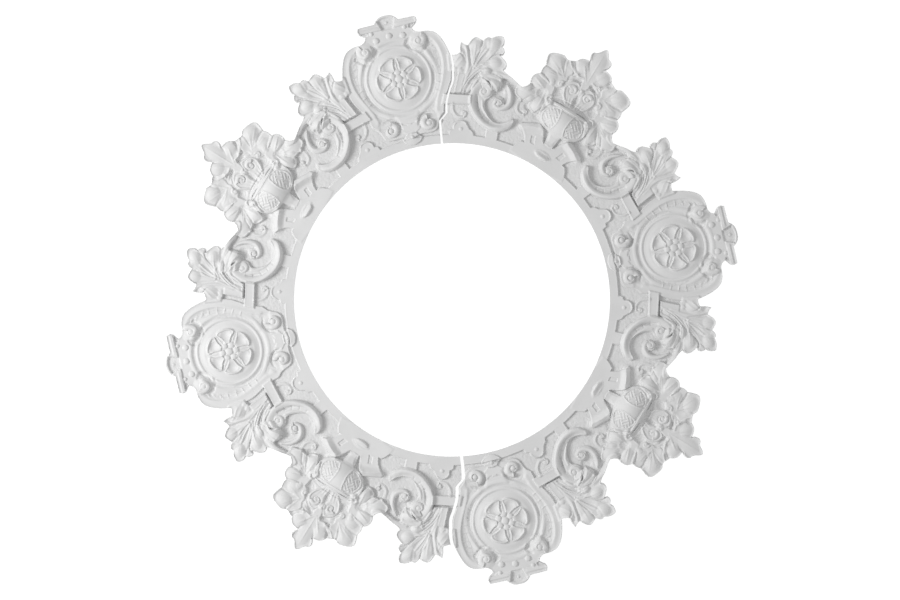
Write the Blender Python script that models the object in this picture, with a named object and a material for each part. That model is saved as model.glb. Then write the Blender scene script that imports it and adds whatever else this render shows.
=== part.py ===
"""Ceiling rose in two cast halves, modelled face up on its flat back.

The ring is 1.14 m across. Its carving repeats every 45 degrees, mirrored each time: a plaque on the
X and Y axes, a leaf and urn cluster on the diagonals, and a scroll with a leaf spray between them.
The carving is drawn in millimetres at full size, in three drawing frames, each standing on its own
axis of the ring with y as the distance from the ring's centre. The driving dimensions below then set
the real size. Each half is a sheet of triangles inside its outline, lifted by the carving's height
and closed with a flat back.
"""
from math import atan2, cos, hypot, pi, radians, sin, tau

import bmesh
import bpy
import numpy as np
from mathutils.geometry import delaunay_2d_cdt

# Driving dimensions, in metres
INNER_RADIUS = 0.305
OUTER_RADIUS = 0.571
SLAB_THICKNESS = 0.011
TOTAL_HEIGHT = 0.038
JOINT_GAP_TOP = 0.0040
JOINT_GAP_BOTTOM = 0.0064

# The drawing, in millimetres
DRAWN_INNER = 305.0
DRAWN_OUTER = 571.0
DRAWN_TOP = 38.0
GROUND = 11.0
BAND = 14.0
BAND_EDGE = 322.0
EDGE_FOOT = 3.0
EDGE_RISE = 46.0
EDGE_DRAFT = 4.5
UNIT = radians(45)
SPACING = 3.2
CURVE_STEPS = 4
INNER_SIDES = 90
PAST_AXIS = 12
FACES_PER_HALF = 4900
FLAT_WITHIN = 0.0005
BELOW = -1e6

PLASTER_WHITE = (0.86, 0.86, 0.85, 1.0)

# The outer edge, as points of the three frames; a third value marks a sharp corner
PLAQUE_EDGE = [(0, 569), (12, 566.5), (20, 561), (24, 555.5, 1), (57, 555, 1), (59.5, 547), (57, 541, 1),
               (46.5, 533.5, 1), (50, 527), (58, 522.5), (72, 521.5), (86, 516.5), (95, 507), (101.5, 493),
               (105.5, 478), (108, 465, 1)]
SPRAY_EDGE = [(76, 470, 1), (69, 473.5), (64.5, 477, 1), (66.5, 488), (66, 498.5, 1), (59, 495), (51.5, 493.5, 1),
              (48.5, 501), (44, 508.5), (38, 512), (30, 510), (22.5, 507, 1), (19, 512.5), (14, 516), (8, 514.3, 1),
              (1, 519), (-6, 521), (-14.5, 520.5), (-18, 514), (-18.5, 506), (-15.5, 501, 1), (-19, 498),
              (-22, 492), (-20, 486), (-14, 484.3, 1), (-20, 480), (-27, 473.5), (-30, 467), (-29, 461),
              (-25, 456.5, 1), (-32, 451), (-42, 446), (-52, 439.5), (-60, 434), (-66, 430.5, 1), (-74, 434),
              (-81, 441, 1)]
CLUSTER_EDGE = [(93, 437, 1), (96.5, 441.5), (98, 450), (95, 459), (88, 464.5, 1), (89.5, 474), (87.5, 483, 1),
                (91.5, 493), (93.5, 503.5), (89, 510.5), (80, 515), (72, 517.5), (65, 518.5), (57, 515),
                (52, 515.5, 1), (45, 519), (40.5, 520.5, 1), (37.5, 526.5), (32, 532), (24, 534.5), (17, 535.5, 1),
                (21.5, 542), (22.5, 549), (19, 554.5), (14, 556, 1), (10, 560), (6, 566.5), (0, 571)]
# The plaque's flank, and the joint that runs just outside it from the ring's inner circle
FLANK = [(106.5, 448), (103, 432), (98, 416), (90, 402), (82.5, 390), (76.5, 378), (73.5, 368), (71, 359, 1)]
JOINT = [(51, 300.7, 1), (54, 325, 1), (57.5, 345, 1), (66, 351.5, 1), (73, 357, 1), (75.5, 368), (79, 379.5),
         (90, 400.5), (98.5, 414), (103.5, 431), (107, 448), (108, 465, 1)]


def smooth(points, closed=True, steps=CURVE_STEPS):
    """A line through the points, rounded except at the marked corners."""
    count = len(points)
    line = []
    for i in range(count if closed else count - 1):
        here, there = points[i], points[(i + 1) % count]
        before = points[i - 1] if i or closed else here
        after = points[(i + 2) % count] if i + 2 < count or closed else there
        start, end = np.array(here[:2], float), np.array(there[:2], float)
        chord = end - start
        leave = chord if len(here) > 2 else along(before, there, chord)
        arrive = chord if len(there) > 2 else along(here, after, chord)
        for t in np.arange(steps) / steps:
            line.append((2*t**3 - 3*t**2 + 1)*start + (3*t**2 - 2*t**3)*end
                        + (t**3 - 2*t**2 + t)*leave + (t**3 - t**2)*arrive)
    line.append(line[0] if closed else np.array(points[-1][:2], float))
    return np.array(line)


def along(a, b, chord):
    """The direction from a to b, with the length of the chord."""
    way = np.array(b[:2], float) - np.array(a[:2], float)
    return way / (hypot(*way) or 1.0) * hypot(*chord)


def mirrored(points):
    """A closed outline whose right half is given from its top to its bottom."""
    return points + [(-p[0], *p[1:]) for p in reversed(points) if p[0] > 0]


def circle(x, y, radius, sides=20):
    turn = np.linspace(0, tau, sides + 1)
    return np.column_stack([x + radius*np.cos(turn), y + radius*np.sin(turn)])


def distance(x, y, line):
    """How far each sample lies from a line."""
    best = np.full(x.shape, np.inf)
    for (ax, ay), (bx, by) in zip(line[:-1], line[1:]):
        length = hypot(bx - ax, by - ay)
        if length < 1e-9:
            continue
        dx, dy = (bx - ax)/length, (by - ay)/length
        t = np.clip((x - ax)*dx + (y - ay)*dy, 0, length)
        best = np.minimum(best, (x - ax - t*dx)**2 + (y - ay - t*dy)**2)
    return np.sqrt(best)


def depth(x, y, line):
    """How deep each sample lies inside a closed line; negative outside."""
    within = np.zeros(x.shape, bool)
    for (ax, ay), (bx, by) in zip(line[:-1], line[1:]):
        if ay != by:
            within ^= ((ay > y) != (by > y)) & (x < (bx - ax)*(y - ay)/(by - ay) + ax)
    return np.where(within, 1, -1)*distance(x, y, line)


def ease(t):
    t = np.clip(t, 0, 1)
    return t*t*(3 - 2*t)


def crown(d, width):
    """A quarter round that rises over a width."""
    return np.sqrt(1 - (1 - np.clip(d/width, 0, 1))**2)


def profile(d, knots):
    """The height across a moulding, eased between (distance, height) knots."""
    at, height = (np.array(column, float) for column in zip(*knots))
    k = np.clip(np.searchsorted(at, d) - 1, 0, len(at) - 2)
    return height[k] + (height[k + 1] - height[k])*ease((d - at[k])/(at[k + 1] - at[k]))


def fan(x, y, root, rays, rise, reach):
    """Ridges and folds spreading from a root; rays pair an angle with 1 on a ridge and 0 in a fold."""
    angle = np.degrees(np.arctan2(y - root[1], x - root[0]))
    return rise*(profile(angle, rays) - 0.5)*ease((np.hypot(x - root[0], y - root[1]) - 8)/reach)


class Sheet:
    """Sample points on one mirrored unit of the ring, and the height carved at each."""

    def __init__(self, radius, turn):
        self.radius = radius
        self.height = np.where(radius < BAND_EDGE, BAND, GROUND)
        self.frames = {"plaque": turn, "scroll": UNIT/2 - turn, "urn": UNIT - turn}

    def window(self, frame, x0, x1, y0, y1):
        turn = self.frames[frame]
        x, y = self.radius*np.sin(turn), self.radius*np.cos(turn)
        pick = (x > x0) & (x < x1) & (y > y0) & (y < y1)
        return pick, x[pick], y[pick]

    def lay(self, frame, line, top):
        """Lay a form on the sheet; top(x, y, depth inside the line) is its upper surface."""
        pick, x, y = self.window(frame, *(line[:, 0].min(), line[:, 0].max(), line[:, 1].min(), line[:, 1].max()))
        d = depth(x, y, line)
        self.height[pick] = np.maximum(self.height[pick], np.where(d > 0, top(x, y, d), BELOW))

    def bead(self, frame, cx, cy, radius, base, rise):
        self.lay(frame, circle(cx, cy, radius, 12), lambda x, y, d: base + rise*crown(d, radius))


def volute(cx, cy, radius, base, top):
    """The end of a coiled strap: a round rim, a groove and an eye."""
    return lambda x, y, d: base + (top - base)*profile(np.hypot(x - cx, y - cy)/radius, [
        (0, 1.0), (0.22, 0.95), (0.45, 0.45), (0.75, 1.0), (0.88, 0.95), (1.0, 0.3)])


def carve_band(sheet):
    """Small lobes stand on the plain inner band, and a web ties the scroll to it."""
    lobe = smooth([(65, 300, 1), (66, 316, 1), (69.5, 322.5, 1), (76.5, 323.5, 1), (79.5, 331), (85, 335.7), (91, 337),
                   (97.5, 335.5), (102.5, 331), (105.5, 323, 1), (107, 316, 1), (112, 310, 1), (113, 300, 1)])
    sheet.lay("plaque", lobe, lambda x, y, d: GROUND + (BAND - GROUND)*ease(d/1.8))
    web = smooth([(-34.5, 312, 1), (-34.5, 336, 1), (-11, 342, 1), (-10.5, 312, 1)])
    sheet.lay("scroll", web, lambda x, y, d: GROUND + (BAND - GROUND)*ease(d/1.8))


def carve_plaque(sheet):
    """The plaque: a rolled rim and channel down each flank, around a ringed medallion."""
    foot = [(62, 351), (57.5, 343), (53, 333), (46, 327.5), (36, 326), (22, 327.5), (12, 326), (0, 322)]
    line = smooth(mirrored(PLAQUE_EDGE + FLANK + foot))

    def top(x, y, d):
        flank = profile(d, [(0, 12), (1.5, 20), (4.5, 27), (8, 26), (11, 19), (14, 18.5), (30, 23.5), (60, 24)])
        plain = profile(d, [(0, 12), (2.5, 20), (6, 23), (60, 23.5)])
        field = plain + (flank - plain)*ease((y - 362)/22)*ease((512 - y)/18)
        r = np.hypot(x, y - 441)
        rings = profile(r, [(0, 17), (44, 17.5), (48.5, 23), (51, 23.8), (55, 22.6), (60, 19.8), (61.5, 19.8),
                            (64, 23.8), (66.5, 24), (70, 21), (71.5, 20.8), (75.5, 23), (78, 23.5)])
        return field + (rings - field)*ease((79 - r)/4)
    sheet.lay("plaque", line, top)
    sheet.lay("plaque", circle(57, 504.5, 15.5), volute(57, 504.5, 15.5, 20, 32))
    sheet.lay("plaque", circle(39.5, 346, 19.5), volute(39.5, 346, 19.5, 16, 29))


def carve_crest(sheet):
    """The bar across the plaque's top, its keystone dome and the studs under it."""
    bar = smooth(mirrored([(0, 555.5, 1), (57, 555, 1), (59.5, 547), (57, 541.5, 1), (0, 541.5, 1)]))
    sheet.lay("plaque", bar, lambda x, y, d: profile(d, [(0, 12), (2, 24), (30, 24)]) + profile(
        y, [(541, 0), (542.5, 4), (547.5, 4.5), (549.5, 1.5), (556, -2.5)]))
    dome = smooth(mirrored([(0, 569), (12, 566.5), (20, 561), (24.3, 555, 1), (15, 540, 1), (0, 539.5, 1)]))
    sheet.lay("plaque", dome, lambda x, y, d: 12 + 17*crown(d, 3))
    for x, y, radius in ((29, 522.5, 6.3), (0, 527, 6.3), (33, 538, 4.2)):
        sheet.bead("plaque", x, y, radius, 23.5, 0.8*radius)


def carve_rosette(sheet):
    """Six petals with rolled ends round a ball, inside the medallion."""
    petal = smooth([(12, -5, 1), (30, -13), (41, -18, 1), (46, -9), (44, 0), (46, 9), (41, 18, 1), (30, 13), (12, 5, 1)])
    for k in range(6):
        turn = k*pi/3
        line = np.column_stack([petal[:, 0]*cos(turn) - petal[:, 1]*sin(turn),
                                441 + petal[:, 0]*sin(turn) + petal[:, 1]*cos(turn)])
        sheet.lay("plaque", line, lambda x, y, d: 16 + crown(d, 2.2)*profile(
            np.hypot(x, y - 441), [(10, 2), (30, 5), (38, 8), (41, 8.5), (46, 5)]))
        sheet.bead("plaque", 14.5*cos(turn + pi/6), 441 + 14.5*sin(turn + pi/6), 7.6, 19.5, 4.5)
    sheet.bead("plaque", 0, 441, 9, 21, 6.5)


def carve_shield(sheet):
    """The button that closes the plaque's foot over the inner band."""
    line = smooth(mirrored([(0, 337, 1), (9, 337, 1), (11, 330), (19.5, 322.5, 1), (14, 314.5), (7, 310.8), (0, 309.5)]))
    sheet.lay("plaque", line, lambda x, y, d: 13 + 11*crown(d, 3))


def carve_scroll(sheet):
    """The big C-scroll with its channel, and the smaller comma scroll inside it."""
    back = [(-60.5, 363, 1), (-57, 350), (-50, 342), (-40, 337), (-28, 335), (-14, 337.2), (0, 343), (12, 352.5),
            (22, 365), (28.5, 380), (31.5, 395), (31.5, 410), (28, 422), (22, 430), (13, 436.5, 1)]
    hollow = [(1, 428), (-8, 420), (-11, 409), (-8, 400), (-1, 394), (1, 388), (-2, 377), (-9, 364.5), (-19, 356),
              (-30, 353), (-39, 354.5), (-48, 358.5), (-55.5, 366, 1)]
    rim = smooth(back, closed=False)
    sheet.lay("scroll", smooth(back + hollow), lambda x, y, d: GROUND + crown(d, 2.8)*profile(
        distance(x, y, rim), [(0, 9), (4.2, 12.5), (7, 11.5), (9.5, 6), (13, 5.5), (22, 9), (40, 10)]))
    sheet.lay("scroll", circle(5.5, 409.5, 16.5), volute(5.5, 409.5, 16.5, 18, 28))
    comma = smooth([(-36, 431, 1), (-46, 420), (-51.5, 408), (-52, 396), (-48, 385), (-39, 379), (-28, 377.5),
                    (-20, 382), (-17, 391), (-19, 399), (-25, 404), (-31, 402.5), (-35.5, 397.5, 1), (-37.5, 391),
                    (-41.5, 397), (-43, 404), (-42, 414), (-37.5, 424)])
    sheet.lay("scroll", comma, lambda x, y, d: GROUND + 10*crown(d, 3.2))
    sheet.bead("scroll", -27.5, 391.5, 7, GROUND, 12)
    bar = smooth([(29, 398.8, 1), (78, 393.7, 1), (79, 373.5, 1), (28, 380.5, 1)])
    sheet.lay("scroll", bar, lambda x, y, d: GROUND + 8*crown(d, 1.8))
    pin = smooth([(53.5, 441, 1), (69.5, 441, 1), (72, 397, 1), (57.5, 397, 1)])
    sheet.lay("scroll", pin, lambda x, y, d: GROUND + 6*crown(d, 2))


def carve_hooks(sheet):
    """Short straps that end in a curl, under the bar and beside the urn."""
    for route, eye in (([(57, 377), (55, 365), (49, 357), (41, 354), (33.5, 358), (32, 365), (37, 368.5)], (38.5, 362)),
                       ([(-72, 408), (-68.5, 396), (-68.5, 386), (-73.5, 378.5), (-81, 376), (-87, 379.5)],
                        (-82.5, 382.5))):
        line = smooth(route, closed=False)
        box = (line[:, 0].min() - 5, line[:, 0].max() + 5, line[:, 1].min() - 5, line[:, 1].max() + 5)
        pick, x, y = sheet.window("scroll", *box)
        strap = GROUND + 5.5*crown(4.2 - distance(x, y, line), 3.6)
        sheet.height[pick] = np.maximum(sheet.height[pick], strap)
        sheet.bead("scroll", *eye, 5, GROUND, 7)


def carve_spray(sheet):
    """The leaf spray between plaque and scroll: back leaf, husk, stem and the fluted crown."""
    wrap = smooth(SPRAY_EDGE[29:] + [(-84, 425), (-74, 418), (-62, 416), (-50, 424, 1), (-40, 428), (-28, 424),
                                     (-18, 428), (0, 440), (6, 452, 1)])
    sheet.lay("scroll", wrap, lambda x, y, d: 11 + profile(d, [(0, 0), (2.2, 5), (8, 8), (30, 9)]))
    husk = smooth([(8, 448, 1), (-6, 447), (-18, 445.5), (-29, 441, 1), (-25, 436.5), (-27.5, 430), (-24.5, 421, 1),
                   (-20, 422), (-20, 412.5, 1), (-13, 415), (-8, 413.5, 1), (-5, 424), (2, 433, 1), (14, 437),
                   (24, 446, 1)])
    sheet.lay("scroll", husk, lambda x, y, d: GROUND + 14*crown(d, 6))
    stem = smooth([(48, 398.5, 1), (38, 417), (26, 432), (12, 441, 1), (22, 452, 1), (34, 470, 1), (44, 452), (47, 430),
                   (54, 398.5, 1)])
    sheet.lay("scroll", stem, lambda x, y, d: 13 + 10*crown(d, 7))
    back = smooth([(45, 425, 1), (38, 445), (36.5, 458), (40, 474), (46, 486)] + SPRAY_EDGE[6:2:-1]
                  + [(64.5, 477, 1), (69, 473.5), (76, 470, 1), (80, 478, 1), (84, 470, 1), (76, 440, 1),
                     (54, 440, 1), (49, 428)])
    sheet.lay("scroll", back, lambda x, y, d: 12 + crown(d, 4)*(7 + 6*ease((52 - x)/12)*ease((y - 445)/18)))
    leaf = smooth([(37, 424, 1), (24, 441), (12, 452), (-2, 455, 1), (-10, 455), (-18, 457)] + SPRAY_EDGE[29:5:-1]
                  + [(49, 488), (44, 474), (42, 462), (42, 448), (43, 430)])
    rays = [(40, .5), (64, .2), (84, 1), (97.5, 0), (115, 1), (133, 0), (141, .8), (147, 0), (158, 1), (180, .2)]
    sheet.lay("scroll", leaf, lambda x, y, d: 13 + crown(d, 7)*(profile(
        np.hypot(x - 35, y - 430), [(0, 9), (20, 12), (50, 15), (85, 14), (110, 8)])
        + fan(x, y, (38, 432), rays, 5.5, 50)))


def carve_urn(sheet):
    """The urn, on its foot between two key blocks, with an almond boss on the band below."""
    base = smooth(mirrored([(0, 352, 1), (10, 351), (18, 365), (26, 375), (36, 381, 1), (68, 363.5, 1), (69.5, 358, 1),
                            (61, 354.5, 1), (50, 345), (43.5, 334, 1), (50, 333, 1), (55, 325, 1), (58.5, 316, 1),
                            (60, 305, 1), (0, 300, 1)]))
    sheet.lay("urn", base, lambda x, y, d: GROUND + 4*crown(d, 2.2))
    block = smooth([(36, 382, 1), (69, 363.8, 1), (70, 357.5, 1), (62, 354), (51, 345), (43.5, 334, 1), (22, 336, 1),
                    (14, 350, 1), (19, 365), (27, 375.5)])
    far = np.array([(36, 382), (69, 363.8)])
    near = np.array([(70, 358), (60, 352.5), (51, 345), (43.5, 334)])
    panel = smooth([(24.5, 337.5, 1), (34.5, 337.5, 1), (42.5, 355, 1), (35.5, 358.5, 1), (28, 352)])

    def block_top(x, y, d):
        bevel = np.clip(np.minimum(distance(x, y, far)/11, distance(x, y, near)/9), 0.12, 1)
        solid = 12 + profile(y, [(334, 3), (345, 6), (360, 10), (380, 12)])*bevel*crown(d, 2)
        return solid - 3*ease(depth(x, y, panel)/2)
    sheet.lay("urn", block, block_top)
    almond = smooth([(15.5, 329, 1), (8, 334.2), (0, 336), (-8, 334.2), (-15.5, 329, 1), (-8, 322.7), (0, 321), (8, 322.7)])
    sheet.lay("urn", almond, lambda x, y, d: 15 + 9*crown(d, 5.5))
    foot = smooth(mirrored([(0, 378, 1), (12.5, 378, 1), (9.5, 350, 1), (0, 350, 1)]))
    sheet.lay("urn", foot, lambda x, y, d: 12 + crown(d, 3)*profile(y, [(350, 5), (364, 8), (378, 15)]))
    body = smooth(mirrored([(0, 433, 1), (34, 432, 1), (46, 426), (50.5, 414), (50, 402), (46, 392), (39, 384), (28, 378),
                            (15, 375.5, 1), (0, 375.5, 1)]))
    pane = smooth([(13, 424, 1), (22, 425), (34, 421), (41, 412), (43.5, 402), (41, 392), (33, 384.5), (24, 380.5),
                   (13.5, 379, 1), (10, 390), (9.5, 402), (11, 414)])
    sheet.lay("urn", body, lambda x, y, d: 12 - 2.5*ease(depth(x, y, pane)/1.8) + crown(d, 5.5)*profile(
        x, [(0, 22), (9, 21), (13, 18), (15, 18), (24, 23), (34, 21.5), (46, 15), (52, 7)]))
    lip = smooth([(34, 432, 1), (22, 436.6), (0, 438.6), (-22, 436.6), (-34, 432, 1), (-22, 428), (0, 426.5), (22, 428)])
    sheet.lay("urn", lip, lambda x, y, d: 18 + 20*crown(d, 4.5))


def carve_buds(sheet):
    """Two fluted stems rise from the urn and curl inwards."""
    stalk = smooth([(3, 436, 1), (4.5, 448), (3.5, 462), (5.5, 476), (12, 483), (21, 482), (28.5, 475), (31.5, 465),
                    (29, 455), (22, 446), (15.5, 436, 1)])
    sheet.lay("urn", stalk, lambda x, y, d: 14 + 17*crown(d, 6))
    sheet.lay("urn", circle(13.5, 468, 14.5), volute(13.5, 468, 14.5, 24, 35))


def carve_cluster_leaves(sheet):
    """The vine leaves round the urn: one on top and two down each side."""
    top = smooth(mirrored(CLUSTER_EDGE[:13:-1] + [(52, 515.5, 1), (50, 505, 1), (40, 508), (30, 504, 1), (28.5, 498.5),
                          (22, 496.5), (14, 498.5), (8, 498, 1), (5.5, 486), (4.5, 476, 1), (0, 474, 1)]))
    shoulder = smooth(CLUSTER_EDGE[14:3:-1] + [(78, 458), (66, 457), (60, 458.5, 1), (60, 464), (55, 471), (48, 476),
                      (40, 470.5, 1), (38, 480), (40.5, 489), (33, 497), (40, 508), (46, 514)])
    side = smooth([(60, 458, 1), (70, 462), (80, 464.5)] + CLUSTER_EDGE[4::-1] + [(100, 434), (106, 430), (108.5, 422, 1),
                  (112, 416), (111, 407), (104, 402.5), (97, 401.5), (91.5, 398, 1), (87, 401.5), (80, 402.5),
                  (76.5, 403.5, 1), (73.5, 397.5), (66, 393), (59, 391.5), (54, 399, 1), (50, 406), (51, 417),
                  (54, 426, 1), (45.5, 424), (43.5, 431), (47, 438.5), (53, 443, 1), (52, 452)])
    leaves = ((top, (0, 482), [(0, 14), (20, 17), (50, 17), (75, 14), (92, 8)],
               [(-100, .5), (12, .8), (24, .2), (38, 1), (56, 0), (66, .8), (74, .3), (82, 1), (90, 0), (98, 1), (180, .5)]),
              (shoulder, (42, 478), [(0, 13), (18, 16), (40, 15.5), (58, 8)],
               [(-60, .2), (-20, .9), (1.5, 0), (14, .9), (26, .5), (36, 1), (66, 0), (78, .9), (180, .4)]),
              (side, (56, 440), [(0, 12), (14, 15), (34, 13.5), (60, 8)],
               [(-180, .3), (-92, .9), (-72, .9), (-62, 0), (-50, .9), (-36, 1), (-14, .9), (-6, 0), (8, .9), (30, 1),
                (48, .3), (180, .3)]))
    for line, root, spine, rays in leaves:
        sheet.lay("urn", line, lambda x, y, d: 13 + crown(d, 6)*(
            profile(np.hypot(x - root[0], y - root[1]), spine) + fan(x, y, root, rays, 4.5, 32)))


CARVING = (carve_band, carve_plaque, carve_crest, carve_rosette, carve_shield, carve_scroll, carve_hooks,
           carve_spray, carve_urn, carve_cluster_leaves, carve_buds)


def unit_points():
    """The outer edge of one unit as (distance, turn, corner) from the plaque's axis to the urn's."""
    points = [(hypot(*p[:2]), atan2(p[0], p[1]), p[2:]) for p in PLAQUE_EDGE]
    for frame_turn, edge in ((UNIT/2, SPRAY_EDGE), (UNIT, CLUSTER_EDGE)):
        points += [(hypot(*p[:2]), frame_turn - atan2(p[0], p[1]), p[2:]) for p in edge]
    return points


def placed(points, turn, mirror=False):
    """Points of (distance, turn, corner) set round the ring, clockwise from +Y."""
    return [(r*sin(turn - t if mirror else turn + t), r*cos(turn - t if mirror else turn + t), *corner)
            for r, t, corner in points]


def ring_edge():
    """The whole ring's outer edge, clockwise from the plaque on +Y."""
    unit = unit_points()
    points = []
    for quarter in range(4):
        points += placed(unit[:-1], quarter*2*UNIT)
        points += placed(unit[:0:-1], (quarter + 1)*2*UNIT, mirror=True)
    return smooth(points), 2*len(unit) - 2


def joint_line():
    """The joint from the inner circle out to the notch beside the plaque."""
    line = smooth(JOINT, closed=False)
    line[0] *= DRAWN_INNER/hypot(*line[0])
    return line


def half_outline():
    """The closed outline of the left half: outer edge, joint, inner circle and the joint again."""
    edge, per_quarter = ring_edge()
    edge = edge[:-1]
    notch = (len(PLAQUE_EDGE) - 1)*CURVE_STEPS
    start = notch + 2*per_quarter*CURVE_STEPS
    outer = np.vstack([edge[start:], edge[:notch + 1]])
    joint = joint_line()
    arc = atan2(*joint[0]) - np.linspace(0, pi, INNER_SIDES + 1)[1:-1]
    inner = DRAWN_INNER*np.column_stack([np.sin(arc), np.cos(arc)])
    return np.vstack([outer, joint[-2::-1], inner, -joint[:-1]])


def folded(x, y):
    """Points of the ring as (radius, turn) in one unit, turned from the plaque's axis."""
    turn = np.arctan2(x, y) % (2*UNIT)
    return np.hypot(x, y), np.minimum(turn, 2*UNIT - turn)


def edge_depth(x, y):
    """How deep points lie inside the ring's outer edge; one unit and a little past it is enough."""
    edge, per_quarter = ring_edge()
    past = PAST_AXIS*CURVE_STEPS
    stretch = np.vstack([edge[-1 - past:-1], edge[:per_quarter*CURVE_STEPS//2 + past]])
    radius, turn = folded(x, y)
    return depth(radius*np.sin(turn), radius*np.cos(turn), np.vstack([stretch, [[0, 0]], stretch[:1]]))


def carved_height(x, y):
    """The carving's height at points of the ring."""
    sheet = Sheet(*folded(x, y))
    for carve in CARVING:
        carve(sheet)
    return np.minimum(sheet.height, EDGE_FOOT + EDGE_RISE*ease(edge_depth(x, y)/EDGE_DRAFT))


def sample_points(outline):
    """The outline's points and a triangular pattern of points inside it."""
    rows = np.arange(-DRAWN_OUTER, DRAWN_OUTER, SPACING*sin(pi/3))
    columns = np.arange(-DRAWN_OUTER, DRAWN_OUTER, SPACING)
    x, y = np.meshgrid(columns, rows)
    x[1::2] += SPACING/2
    x, y = x.ravel(), y.ravel()
    clear = 0.4*SPACING
    ring = (np.hypot(x, y) > DRAWN_INNER + clear) & (np.hypot(x, y) < DRAWN_OUTER)
    x, y = x[ring], y[ring]
    joint = joint_line()
    side = np.vstack([joint, 2*joint[-1:], [[-2*DRAWN_OUTER, 2*DRAWN_OUTER], [-2*DRAWN_OUTER, -2*DRAWN_OUTER]],
                      -2*joint[-1:], -joint[::-1], joint[:1]])
    inside = (depth(x, y, side) > clear) & (edge_depth(x, y) > clear)
    return np.vstack([outline, np.column_stack([x[inside], y[inside]])])


def to_real(x, y, height):
    """From drawn millimetres to real metres, by the driving dimensions."""
    drawn = np.hypot(x, y)
    real = INNER_RADIUS + (drawn - DRAWN_INNER)/(DRAWN_OUTER - DRAWN_INNER)*(OUTER_RADIUS - INNER_RADIUS)
    slab = np.minimum(height, GROUND)/GROUND*SLAB_THICKNESS
    relief = np.maximum(height - GROUND, 0)/(DRAWN_TOP - GROUND)*(TOTAL_HEIGHT - SLAB_THICKNESS)
    return x/drawn*real, y/drawn*real, slab + relief


def make_half_mesh():
    outline = half_outline()
    points = sample_points(outline)
    count = len(outline)
    loop = [(i, (i + 1) % count) for i in range(count)]
    vertices, _, faces, *_ = delaunay_2d_cdt([tuple(p) for p in points], loop, [], 1, 1e-5)
    flat = np.array(vertices)
    x, y, z = to_real(flat[:, 0], flat[:, 1], carved_height(flat[:, 0], flat[:, 1]))

    shape = bmesh.new()
    for px, py in zip(x, y):
        shape.verts.new((px, py, 0))
    shape.verts.ensure_lookup_table()
    for face in faces:
        shape.faces.new([shape.verts[i] for i in face])
    raised = bmesh.ops.extrude_face_region(shape, geom=list(shape.faces))["geom"]
    where = {(vert.co.x, vert.co.y): height for vert, height in zip(shape.verts, z)}
    for vert in raised:
        if isinstance(vert, bmesh.types.BMVert):
            vert.co.z = where[vert.co.x, vert.co.y]
    bmesh.ops.recalc_face_normals(shape, faces=shape.faces)
    mesh = bpy.data.meshes.new("fine half")
    shape.to_mesh(mesh)
    shape.free()
    return reduced(mesh)


def reduced(fine):
    """The same half with few faces, its inner circle kept, and its back and top true."""
    block = bpy.data.objects.new("fine half", fine)
    bpy.context.scene.collection.objects.link(block)
    kept = block.vertex_groups.new(name="inner circle")
    within = INNER_RADIUS + FLAT_WITHIN
    kept.add([v.index for v in fine.vertices if hypot(v.co.x, v.co.y) < within], 1.0, "REPLACE")
    reduce = block.modifiers.new("reduce", "DECIMATE")
    reduce.ratio = FACES_PER_HALF/sum(len(face.vertices) - 2 for face in fine.polygons)
    reduce.vertex_group = kept.name
    reduce.invert_vertex_group = True
    reduce.vertex_group_factor = 1.0
    depsgraph = bpy.context.evaluated_depsgraph_get()
    mesh = bpy.data.meshes.new_from_object(block.evaluated_get(depsgraph))
    mesh.name = "half"
    bpy.data.objects.remove(block)
    for vert in mesh.vertices:
        vert.co.z = 0 if vert.co.z < FLAT_WITHIN else min(vert.co.z, TOTAL_HEIGHT)
    return mesh


def make_material():
    material = bpy.data.materials.new("primed white")
    material.use_nodes = True
    shader = material.node_tree.nodes["Principled BSDF"]
    shader.inputs["Base Color"].default_value = PLASTER_WHITE
    shader.inputs["Roughness"].default_value = 0.6
    shader.inputs["Metallic"].default_value = 0.0
    return material


def place_half(name, mesh, collection, side):
    """Set one half beside the joint; side is -1 for the left half and 1 for the right."""
    half = bpy.data.objects.new(name, mesh)
    collection.objects.link(half)
    joint_turn = atan2(JOINT[0][0], JOINT[0][1])
    shift = (JOINT_GAP_TOP + JOINT_GAP_BOTTOM)/4
    spread = (JOINT_GAP_BOTTOM - JOINT_GAP_TOP)/(INNER_RADIUS + OUTER_RADIUS)/2
    half.location = (side*shift*cos(joint_turn), -side*shift*sin(joint_turn), 0)
    half.rotation_euler = (0, 0, side*spread + (pi if side > 0 else 0))
    return half


def main():
    for item in list(bpy.data.objects):
        bpy.data.objects.remove(item)
    collection = bpy.data.collections.new("ceiling rose")
    bpy.context.scene.collection.children.link(collection)
    mesh = make_half_mesh()
    mesh.materials.append(make_material())
    place_half("left_half", mesh, collection, -1)
    place_half("right_half", mesh, collection, 1)


main()
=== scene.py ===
# %% [markdown]
# # A ceiling rose, cast in two halves
#
# The real object is a ring of rigid foam or plaster, 1.14 m across, cast in two equal halves and primed
# white. Its back is flat and its face is a low relief: plaques, scrolls, leaf sprays and urns.
# The solids of the two halves are loaded first. They fix the size and the place of everything here.

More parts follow.
